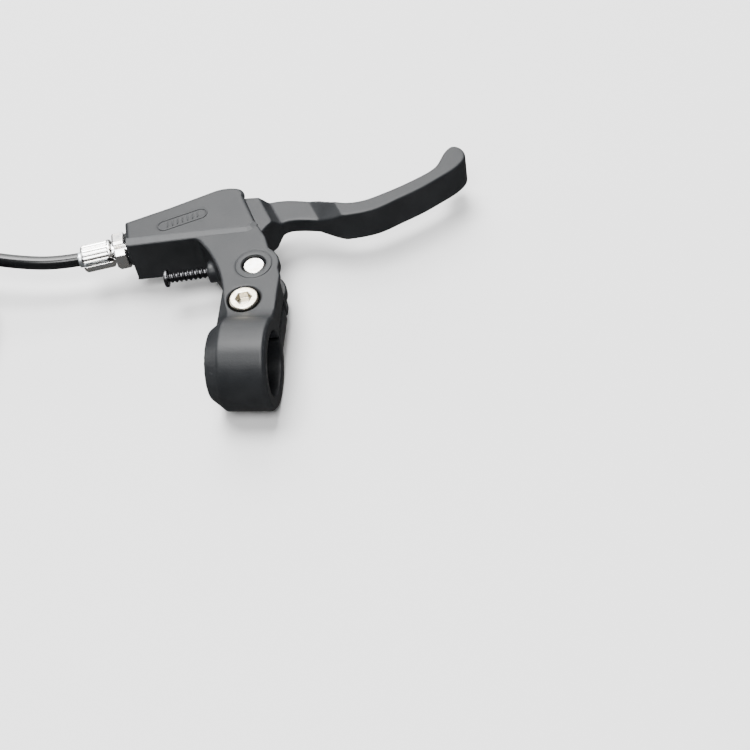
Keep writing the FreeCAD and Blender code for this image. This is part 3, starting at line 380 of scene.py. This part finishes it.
def make_bracket():
    """The bracket, with a large soft fillet where its plate runs into the band on both faces."""
    bolt = middle_of("clamp_bolt") / MM
    voxel, convex, concave = BRACKET_EDGES
    mesh = moved(mesh_arrays("lever_bracket"), voxel, -convex, convex, concave, -concave)
    # the surface moved out by the fillet's radius, which has the fillet when it is moved back in
    filled = level_set(moved(mesh, 2 * voxel, BLEND_RADIUS), voxel, BLEND_RADIUS)
    grid = level_set(mesh, voxel, BLEND_RADIUS)
    for side in (1, -1):
        corners = [np.array(corner) * (1, 1, side) for corner in (BLEND_LOW, BLEND_HIGH)]
        low = np.floor(np.minimum(*corners) / voxel).astype(int)
        shape = tuple(np.ceil(np.abs(corners[1] - corners[0]) / voxel).astype(int))
        own = dense(grid, tuple(low), shape)
        soft = dense(filled, tuple(low), shape) + BLEND_RADIUS
        places = np.meshgrid(*[(low[k] + np.arange(shape[k])) * voxel for k in range(3)], indexing="ij")
        from_bolt = np.hypot(places[0] - bolt.x, places[1] - bolt.y) - BLEND_BOLT_RADIUS
        share = np.clip(np.minimum(depth_in_box(places, corners), from_bolt) / BLEND_FADE, 0, 1)
        grid.copyFromArray((own + share * np.minimum(soft - own, 0)).astype(np.float32), ijk=tuple(low))
    return surface_piece("lever_bracket_moulded", "lever_bracket", grid.convertToPolygons(isovalue=0.0))


# --------------------------------------------------------------------------------------------------
# Pieces skinned over rings of points
# --------------------------------------------------------------------------------------------------
# points round a thread's or a wire's ring, and rings round a turned piece
RING_COUNT = 48
TURNED_COUNT = 64


def skin(name, node, rings, closed=False, replaces=True):
    """A closed surface over rings of as many points each, which meet end to end or are capped."""
    count = len(rings[0])
    points = [tuple(point) for ring in rings for point in ring]
    faces = []
    for row in range(len(rings) if closed else len(rings) - 1):
        near, far = row * count, (row + 1) % len(rings) * count
        for k in range(count):
            beside = (k + 1) % count
            faces.append((near + k, near + beside, far + beside, far + k))
    if not closed:
        faces.append(tuple(range(count))[::-1])
        faces.append(tuple(range(len(points) - count, len(points))))
    piece = new_piece(name, node, points, faces, replaces)
    shape = bmesh.new()
    shape.from_mesh(piece.data)
    bmesh.ops.recalc_face_normals(shape, faces=shape.faces)
    shape.to_mesh(piece.data)
    shape.free()
    return piece


def outward_round(direction, count):
    """Angles round a line of a direction, evenly spaced, each with the way out from the line there."""
    side = direction.cross(Vector((0, 0, 1))).normalized()
    other = direction.cross(side)
    for k in range(count):
        angle = 2 * math.pi * k / count
        yield angle, side * math.cos(angle) + other * math.sin(angle)


def round_rings(start, direction, stations, radius_at):
    """Rings across a line, at stations along it. radius_at gives the radius at a station and an angle."""
    direction = direction.normalized()
    ways = list(outward_round(direction, RING_COUNT))
    for station in stations:
        centre = start + direction * station
        yield [centre + out * radius_at(station, angle) for angle, out in ways]


def turned_piece(name, node, start, direction, profile):
    """A ring turned about a line, of a closed profile in (distance along it, radius) pairs."""
    direction = direction.normalized()
    rings = [
        [start + direction * station + out * radius for station, radius in profile]
        for _, out in outward_round(direction, TURNED_COUNT)
    ]
    return skin(name, node, rings, closed=True)


FERRULE_LENGTH, FERRULE_RADIUS, FERRULE_WALL = 10.6 * MM, 2.8 * MM, 0.9 * MM
FERRULE_BORE, FERRULE_HOLE = 2.5 * MM, 1.1 * MM
FERRULE_EDGE = 0.35 * MM
# the lip starts with a rolled groove, and its rim is bevelled
LIP_LENGTH, GROOVE_DEPTH = 1.0 * MM, 0.10 * MM
GROOVE_START, GROOVE_BOTTOM, GROOVE_END = -0.5 * MM, -0.2 * MM, 0.1 * MM
RIM_LENGTH, RIM_DEPTH = 0.2 * MM, 0.15 * MM


def ferrule(node, start, direction):
    """A housing cap: a closed end with a hole for the wire, and a rolled lip at its mouth."""
    lip = FERRULE_LENGTH - LIP_LENGTH
    profile = [(0, FERRULE_HOLE), (0, FERRULE_RADIUS - FERRULE_EDGE)]
    for degrees in (30, 60, 90):
        turn = math.radians(degrees)
        across = FERRULE_RADIUS - FERRULE_EDGE * (1 - math.sin(turn))
        profile.append((FERRULE_EDGE * (1 - math.cos(turn)), across))
    profile += [
        (lip + GROOVE_START, FERRULE_RADIUS),
        (lip + GROOVE_BOTTOM, FERRULE_RADIUS - GROOVE_DEPTH),
        (lip + GROOVE_END, FERRULE_RADIUS),
        (FERRULE_LENGTH - RIM_LENGTH, FERRULE_RADIUS),
        (FERRULE_LENGTH, FERRULE_RADIUS - RIM_DEPTH),
        (FERRULE_LENGTH, FERRULE_BORE),
        (FERRULE_WALL, FERRULE_BORE),
        (FERRULE_WALL, FERRULE_HOLE),
    ]
    return turned_piece(node + "_turned", node, start, direction, profile)


# the reach screw's axis and its head's outer end, and its thread, in distances from there along the axis
REACH_TILT = math.radians(8.75)
REACH_DIRECTION = Vector((math.cos(REACH_TILT), math.sin(REACH_TILT), 0))
REACH_HEAD = Vector((-34.4, 40.35, 0)) * MM
REACH_HEAD_LENGTH, REACH_LENGTH = 1.4 * MM, 26.0 * MM
THREAD_CORE, THREAD_CREST, THREAD_PITCH = 1.45 * MM, 2.0 * MM, 1.7 * MM
THREAD_START, THREAD_RUNOUT = 1.6 * MM, 1.2 * MM
# the thread's depth over one pitch: where along it, and how far from core to crest
THREAD_PROFILE = ((0.0, 0.32, 0.42, 0.74, 1.0), (0.0, 1.0, 1.0, 0.0, 0.0))
THREAD_STEP = 0.08 * MM
# the head's stub is cut a little past the head, and the thread starts a little inside it
STUB_LENGTH, THREAD_SINK = 0.1 * MM, 0.2 * MM


def make_reach_screw():
    """The screw's CAD head, and a true helical thread in place of the CAD's rings."""
    neck = REACH_HEAD + REACH_DIRECTION * (REACH_HEAD_LENGTH + STUB_LENGTH)
    rounded("reach_screw", *REACH_HEAD_EDGES, keep_before=(neck, REACH_DIRECTION))

    def radius_at(station, angle):
        """The thread's radius, which fades to the core's at both ends."""
        phase = (station / THREAD_PITCH - angle / (2 * math.pi)) % 1.0
        depth = np.interp(phase, *THREAD_PROFILE)
        grown = min(station - THREAD_START, REACH_LENGTH - station) / THREAD_RUNOUT
        return THREAD_CORE + (THREAD_CREST - THREAD_CORE) * depth * min(max(grown, 0.0), 1.0)

    first = REACH_HEAD_LENGTH - THREAD_SINK
    count = round((REACH_LENGTH - first) / (THREAD_STEP * COARSE))
    stations = [first + (REACH_LENGTH - first) * k / count for k in range(count + 1)]
    rings = round_rings(REACH_HEAD, REACH_DIRECTION, stations, radius_at)
    skin("reach_screw_thread", "reach_screw", list(rings))


WIRE_RADIUS = 0.75 * MM
STRAND_RADIUS = WIRE_RADIUS / 3
STRANDS = 6
STRAND_LAY = 9.0 * MM
STRAND_STEP = 0.35 * MM


def strand_radius(station, angle):
    """The outline of six strands laid round a seventh, which turn with the distance along the wire."""
    across = (angle - 2 * math.pi * station / STRAND_LAY) % (2 * math.pi / STRANDS) - math.pi / STRANDS
    middle = 2 * STRAND_RADIUS
    return middle * math.cos(across) + math.sqrt(STRAND_RADIUS**2 - (middle * math.sin(across)) ** 2)


def stranded_wire(node, start, end):
    """A stranded wire in place of a plain CAD one."""
    length = (end - start).length
    count = round(length / (STRAND_STEP * COARSE))
    stations = [length * k / count for k in range(count + 1)]
    rings = list(round_rings(start, end - start, stations, strand_radius))
    return skin(node + "_stranded", node, rings)


# --------------------------------------------------------------------------------------------------
# Raised details of the bracket
# --------------------------------------------------------------------------------------------------
FRAME_CENTRE = Vector((-28.9, 60.2)) * MM
FRAME_TILT = math.radians(24.0)
FRAME_HALF_LENGTH, FRAME_RADIUS, FRAME_LINE = 6.8 * MM, 2.6 * MM, 0.5 * MM
FRAME_END_STEPS = 16
PANEL_TOP, PLATE_TOP = 9.5 * MM, 9.0 * MM
EMBOSS_HEIGHT = 0.3 * MM
EMBOSS_SINK = 0.15 * MM
FRAME_RIBS = 7
RIB_HALF_LENGTH, RIB_HALF_WIDTH = 1.25 * MM, 0.28 * MM
RIB_SPACING, RIB_LEAN = 1.9 * MM, math.radians(14)
# a rib's section shrinks towards its ends by a power of a sine, down to a small share that closes it
RIB_STEPS, RIB_END_POWER, RIB_END_SHARE = 8, 0.35, 0.02
MOULDING_INNER, MOULDING_OUTER, MOULDING_HEIGHT = 4.4 * MM, 6.5 * MM, 0.3 * MM
MOULDING_STEPS, MOULDING_SHOULDER = 96, 0.2
# a ridge's shoulder: its share of the half width, and the two points that round it
RIDGE_SHOULDER = 0.35
SHOULDER_FOOT, SHOULDER_HEIGHT, SHOULDER_INSET = 0.55, 0.86, 0.3


def ridge_profile(half_width, height, shoulder=RIDGE_SHOULDER):
    """A moulded ridge's section as (across, up) pairs: sunk at its foot, with rounded shoulders."""
    inset = half_width * shoulder
    rise = [
        (half_width, -EMBOSS_SINK),
        (half_width, SHOULDER_FOOT * height),
        (half_width - SHOULDER_INSET * inset, SHOULDER_HEIGHT * height),
        (half_width - inset, height),
    ]
    return [(-across, up) for across, up in rise] + rise[::-1]


def ridge_rings(points, outward, profile, level):
    """Rings of a ridge along flat points, each with its outward direction."""
    for point, out in zip(points, outward):
        yield [Vector((*(point + out * across), level + up)) for across, up in profile]


# the panel's bevelled front, as pairs of a top point and its foot, from the cable's end to the plate's edge
BEVEL_LINES = [
    ((-48.3, 51.35), (-48.1, 48.75)),
    ((-36.0, 52.75), (-36.0, 50.20)),
    ((-22.9, 53.95), (-22.6, 51.90)),
    ((-12.0, 54.85), (-12.0, 52.90)),
    ((-4.6, 55.45), (-4.2, 53.60)),
    ((-3.5, 56.20), (-2.2, 54.80)),
    ((-2.4, 58.20), (-0.9, 57.20)),
]
# it stands just proud of the panel and the plate, runs in under the panel's face, and its underside is sunk
BEVEL_PROUD, BEVEL_SINK = 0.01 * MM, 0.5 * MM
BEVEL_RUN_IN, BEVEL_RUN_IN_SINK = 0.6 * MM, 0.05 * MM


def make_panel_bevel():
    """The shallow slope along the panel's front edge, on both faces."""
    for side, name in ((1, "upper"), (-1, "lower")):
        rings = []
        for top, foot in BEVEL_LINES:
            high = Vector((*top, 0)) * MM
            low = Vector((*foot, 0)) * MM
            inner = high + (high - low).normalized() * BEVEL_RUN_IN
            section = (
                (inner, PANEL_TOP - BEVEL_RUN_IN_SINK),
                (high, PANEL_TOP + BEVEL_PROUD),
                (low, PLATE_TOP + BEVEL_PROUD),
                (low, PLATE_TOP - BEVEL_SINK),
                (inner, PLATE_TOP - BEVEL_SINK),
            )
            rings.append([place + Vector((0, 0, side * height)) for place, height in section])
        piece = skin("panel_bevel_" + name, "lever_bracket", rings, replaces=False)
        piece.data.polygons.foreach_set("use_smooth", [False] * len(piece.data.polygons))


def turned_flat(vector, angle):
    """A flat vector turned by an angle."""
    return Matrix.Rotation(angle, 2) @ vector


FRAME_ALONG = turned_flat(Vector((1, 0)), FRAME_TILT)


def make_panel_frame():
    """The raised line with round ends on the panel."""
    points, outward = [], []
    for side in (1, -1):
        for k in range(FRAME_END_STEPS + 1):
            out = turned_flat(FRAME_ALONG * side, math.radians(-90 + 180 * k / FRAME_END_STEPS))
            end = FRAME_CENTRE + FRAME_ALONG * side * FRAME_HALF_LENGTH
            points.append(end + out * (FRAME_RADIUS - FRAME_LINE / 2))
            outward.append(out)
    rings = ridge_rings(points, outward, ridge_profile(FRAME_LINE / 2, EMBOSS_HEIGHT), PANEL_TOP)
    skin("panel_frame_ridge", "lever_bracket", list(rings), closed=True, replaces=False)


def make_panel_ribs():
    """A row of plain slanted ribs inside the frame."""
    rib = turned_flat(FRAME_ALONG, math.radians(90) - RIB_LEAN)
    across = turned_flat(rib, math.radians(-90))
    for k in range(FRAME_RIBS):
        centre = FRAME_CENTRE + FRAME_ALONG * (k - (FRAME_RIBS - 1) / 2) * RIB_SPACING
        rings = []
        for step in range(RIB_STEPS + 1):
            turn = math.pi * step / RIB_STEPS
            place = centre - rib * RIB_HALF_LENGTH * math.cos(turn)
            scale = max(math.sin(turn), RIB_END_SHARE) ** RIB_END_POWER
            profile = ridge_profile(RIB_HALF_WIDTH * scale, EMBOSS_HEIGHT * scale)
            rings += ridge_rings([place], [across], profile, PANEL_TOP)
        skin("panel_rib_%d" % (k + 1), "lever_bracket", rings, replaces=False)


def make_pivot_moulding():
    """The raised ring round the pivot's head."""
    pivot = middle_of("pivot_pin").xy
    outward = [turned_flat(Vector((1, 0)), 2 * math.pi * k / MOULDING_STEPS) for k in range(MOULDING_STEPS)]
    points = [pivot + out * (MOULDING_INNER + MOULDING_OUTER) / 2 for out in outward]
    half_width = (MOULDING_OUTER - MOULDING_INNER) / 2
    profile = ridge_profile(half_width, MOULDING_HEIGHT, shoulder=MOULDING_SHOULDER)
    rings = list(ridge_rings(points, outward, profile, PLATE_TOP))
    skin("pivot_moulding_ring", "lever_bracket", rings, closed=True, replaces=False)


# --------------------------------------------------------------------------------------------------
# Cable
# --------------------------------------------------------------------------------------------------
# the housing leaves the adjuster on the cable's line, and its coil stands on the floor beyond the route's end
HOUSING_RADIUS = 2.5 * MM
COIL_CENTRE = Vector((-131.0, 24.5, 0)) * MM
COIL_RADIUS = 27.5 * MM
COIL_TOP, COIL_FLOOR = 4.075 * MM, -12.5 * MM
COIL_TURNS = 3.25
POINTS_PER_TURN = 16
CABLE_TILT = math.radians(15)
CABLE_OUT = Vector((-math.cos(CABLE_TILT), -math.sin(CABLE_TILT), 0))
ADJUSTER_SEAT = Vector((-49.15, 56.06, 0)) * MM
# distances from the seat along the cable's line
HOUSING_START, HOUSING_SECOND = 10.45 * MM, 26.0 * MM
FERRULE_START, FERRULE_MOUTH = 9.55 * MM, 20.15 * MM
INNER_WIRE_END = 19.15 * MM
ROUTE = [
    ADJUSTER_SEAT + CABLE_OUT * HOUSING_START,
    ADJUSTER_SEAT + CABLE_OUT * HOUSING_SECOND,
    Vector((-93.0, 48.8, 2.3)) * MM,
    Vector((-112.0, 51.9, 4.5)) * MM,
]
FAR_RUN_YS = (12.0 * MM, -2.0 * MM)
FAR_END_Y = -15.7 * MM
CURVE_STEPS, TUBE_STEPS = 12, 8


def coil_points():
    """Points round the coil, from where the route meets its top turn to where the far run leaves it."""
    count = round(COIL_TURNS * POINTS_PER_TURN)
    # a spline passes inside its control points, so they stand a little outside the turns' middle line
    radius = COIL_RADIUS / math.cos(math.pi / POINTS_PER_TURN) ** 0.5
    for k in range(count + 1):
        share = k / count
        turn = math.radians(90) + 2 * math.pi * COIL_TURNS * share
        yield COIL_CENTRE + Vector(
            (radius * math.cos(turn), radius * math.sin(turn), COIL_TOP + (COIL_FLOOR - COIL_TOP) * share)
        )


def far_points():
    """The straight run from the coil to the far ferrule, on the floor."""
    x = COIL_CENTRE.x - COIL_RADIUS
    for y in (*FAR_RUN_YS, FAR_END_Y):
        yield Vector((x, y, COIL_FLOOR))


def spline_curve(name, points, radius):
    """A round tube along a NURBS spline."""
    data = bpy.data.curves.new(name, "CURVE")
    data.dimensions = "3D"
    spline = data.splines.new("NURBS")
    spline.points.add(len(points) - 1)
    for place, point in zip(spline.points, points):
        place.co = (*point, 1.0)
        place.radius = radius
    spline.order_u = 3
    spline.use_endpoint_u = True
    spline.resolution_u = CURVE_STEPS
    # the points' own radii scale this
    data.bevel_depth = 1.0
    data.bevel_resolution = TUBE_STEPS
    data.use_fill_caps = True
    curve = bpy.data.objects.new(name, data)
    bpy.context.scene.collection.objects.link(curve)
    return curve


def make_housing():
    """The housing from the adjuster round the coil to its far end, with its ferrules and the coil's tie."""
    points = ROUTE + list(coil_points()) + list(far_points())
    housing = spline_curve("housing_line", points, HOUSING_RADIUS)
    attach(housing, "cable_stop")
    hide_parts("cable_housing", "housing_coil", "housing_far_run")
    finish_with(housing, "cable_housing")
    ferrule("housing_ferrule", ADJUSTER_SEAT + CABLE_OUT * FERRULE_START, CABLE_OUT)
    strap, head = make_tie()
    far_cap = ferrule("far_ferrule", points[-1] - Vector((0, FERRULE_WALL, 0)), Vector((0, 1, 0)))


TIE_ANGLE = math.radians(250)
TIE_WIDTH, TIE_THICK, TIE_GAP = 6.4 * MM, 0.7 * MM, 0.05 * MM
TIE_EDGE = 0.25 * MM
# the head's length along the strap's width, its height and its depth
TIE_HEAD = Vector((7.4, 4.6, 3.2)) * MM
TIE_HEAD_EDGE, TIE_HEAD_BEVEL = 0.7 * MM, 0.4 * MM
ARC_STEPS, CORNER_STEPS = 10, 4


def rounded_rectangle(width, height, radius):
    """Points round a rectangle with round corners, about its middle."""
    points = []
    for quarter, (a, b) in enumerate(((1, 1), (-1, 1), (-1, -1), (1, -1))):
        for k in range(CORNER_STEPS + 1):
            turn = math.pi / 2 * (quarter + k / CORNER_STEPS)
            across = a * (width / 2 - radius) + radius * math.cos(turn)
            points.append((across, b * (height / 2 - radius) + radius * math.sin(turn)))
    return points


def turn_heights(angle):
    """How high the coil's turns pass an angle, from the top one down."""
    drop = (COIL_TOP - COIL_FLOOR) / COIL_TURNS
    share = ((angle - math.pi / 2) / (2 * math.pi)) % 1.0
    heights = []
    while share < COIL_TURNS:
        heights.append(COIL_TOP - drop * share)
        share += 1.0
    return heights


def make_tie():
    """A nylon strap drawn round the turns, with its locking head on the coil's outer side."""
    out = Vector((math.cos(TIE_ANGLE), math.sin(TIE_ANGLE), 0))
    along, up = Vector((-out.y, out.x, 0)), Vector((0, 0, 1))
    middle = COIL_CENTRE + out * COIL_RADIUS
    heights = turn_heights(TIE_ANGLE)
    radius = HOUSING_RADIUS + TIE_GAP + TIE_THICK / 2
    section = rounded_rectangle(TIE_WIDTH, TIE_THICK, TIE_EDGE)
    rings = []
    for height, first in ((heights[0], 0.0), (heights[-1], math.pi)):
        for k in range(ARC_STEPS + 1):
            turn = first + math.pi * k / ARC_STEPS
            away = out * math.cos(turn) + up * math.sin(turn)
            centre = middle + up * height + away * radius
            rings.append([centre + along * a + away * b for a, b in section])
    strap = skin("coil_tie_strap", "coil_tie", rings, closed=True)

    # the head is flush with the strap's inner face, half way down the coil
    centre = middle + up * (heights[0] + heights[-1]) / 2 + out * (radius + TIE_HEAD.z / 2 - TIE_THICK / 2)
    half, bevel = TIE_HEAD.x / 2, TIE_HEAD_BEVEL
    rings = []
    for place, inset in ((-half, bevel), (bevel - half, 0.0), (half - bevel, 0.0), (half, bevel)):
        section = rounded_rectangle(TIE_HEAD.y - inset, TIE_HEAD.z - inset, TIE_HEAD_EDGE)
        rings.append([centre + along * place + up * a + out * b for a, b in section])
    head = skin("coil_tie_head", "coil_tie", rings)
    return strap, head


def make_wires():
    """The wire's two visible ends: inside the bracket, and beyond the far ferrule."""
    low, high = (Vector(corner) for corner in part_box("inner_cable"))
    adjuster_end = ADJUSTER_SEAT + CABLE_OUT * INNER_WIRE_END
    length = (high.x - low.x - WIRE_RADIUS * 2 * abs(CABLE_OUT.y)) / abs(CABLE_OUT.x)
    stranded_wire("inner_cable", adjuster_end - CABLE_OUT * length, adjuster_end)

    low, high = (Vector(corner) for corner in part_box("inner_cable_tail"))
    x, z = COIL_CENTRE.x - COIL_RADIUS, COIL_FLOOR
    start, end = Vector((x, high.y, z)), Vector((x, low.y, z))
    tail = stranded_wire("inner_cable_tail", start, end)
    [start.lerp(end, k / 16) for k in range(17)]


# --------------------------------------------------------------------------------------------------
# Floor and light
# --------------------------------------------------------------------------------------------------
FLOOR_HALF = 3.0
FLOOR_COLOUR = (0.93, 0.93, 0.93, 1)
BACKDROP_AS_LIGHT, BACKDROP_TO_CAMERA = 0.12, 0.75


def make_floor():
    """A pale card that the lever lies on. The object's gloss doesn't mirror it."""
    low = cad_box[0].z
    data = bpy.data.meshes.new("floor")
    corners = [(x * FLOOR_HALF, y * FLOOR_HALF, low) for x, y in ((-1, -1), (1, -1), (1, 1), (-1, 1))]
    data.from_pydata(corners, [], [(0, 1, 2, 3)])
    floor = bpy.data.objects.new("floor", data)
    bpy.context.scene.collection.objects.link(floor)
    nodes = Nodes("floor_card")
    nodes.set(Base_Color=FLOOR_COLOUR, Roughness=0.8, Specular_IOR_Level=0.1)
    data.materials.append(nodes.material)
    floor.visible_glossy = False


def make_backdrop():
    """A pale backdrop that lights the object only a little, and is brighter to the camera."""
    world = bpy.data.worlds.new("studio")
    world.use_nodes = True
    tree = world.node_tree
    tree.nodes["Background"].inputs["Color"].default_value = (1, 1, 1, 1)
    strength = tree.nodes.new("ShaderNodeMapRange")
    strength.inputs["To Min"].default_value = BACKDROP_AS_LIGHT
    strength.inputs["To Max"].default_value = BACKDROP_TO_CAMERA
    tree.links.new(tree.nodes.new("ShaderNodeLightPath").outputs["Is Camera Ray"], strength.inputs["Value"])
    tree.links.new(strength.outputs["Result"], tree.nodes["Background"].inputs["Strength"])
    bpy.context.scene.world = world


LIGHT_TARGET = Vector((-0.01, 0.04, 0.0))
SUN_POWER, SUN_ANGLE = 5.6, math.radians(32)
SUN_FROM = Vector((-0.14, 0.20, 0.97))
# each light's name, direction from the lever, distance, width and height in metres, and power in watts
SOFTBOXES = [
    ("back_light", (-0.14, 0.66, 0.74), 1.0, 0.60, 0.40, 8),
    ("wall_light", (-0.10, 0.95, 0.30), 1.3, 1.20, 0.50, 7),
    ("front_light", (0.05, -0.50, 0.86), 1.0, 0.50, 0.35, 8),
    ("side_light", (-0.95, 0.10, 0.25), 1.2, 0.60, 0.40, 4),
]


def softbox(name, direction, distance, width, height, power):
    """A soft light in a direction from the lever, facing it."""
    data = bpy.data.lights.new(name, "AREA")
    data.shape = "RECTANGLE"
    data.size = width
    data.size_y = height
    data.energy = power
    light = bpy.data.objects.new(name, data)
    light.location = LIGHT_TARGET + Vector(direction).normalized() * distance
    light.rotation_euler = (LIGHT_TARGET - light.location).to_track_quat("-Z", "Y").to_euler()
    light.visible_camera = False
    bpy.context.scene.collection.objects.link(light)


def make_lights():
    """A wide soft sun from above and behind, and softboxes round the lever."""
    data = bpy.data.lights.new("top_light", "SUN")
    data.energy = SUN_POWER
    data.angle = SUN_ANGLE
    top = bpy.data.objects.new("top_light", data)
    top.rotation_euler = SUN_FROM.to_track_quat("Z", "Y").to_euler()
    bpy.context.scene.collection.objects.link(top)
    for settings in SOFTBOXES:
        softbox(*settings)


# --------------------------------------------------------------------------------------------------
# Build
# --------------------------------------------------------------------------------------------------
make_camera()
make_housing()
make_wires()
for node, piece in frame["nodes"].items():
    finish_with(piece, node)
make_bracket()
make_panel_frame()
make_panel_ribs()
make_pivot_moulding()
make_panel_bevel()
rounded("lever_blade", *BLADE_EDGES)
make_reach_screw()
for node in ("barrel_adjuster", "adjuster_lock_ring", "clamp_bolt", "pivot_pin"):
    rounded(node, *METAL_EDGES)
make_floor()
make_backdrop()
make_lights()
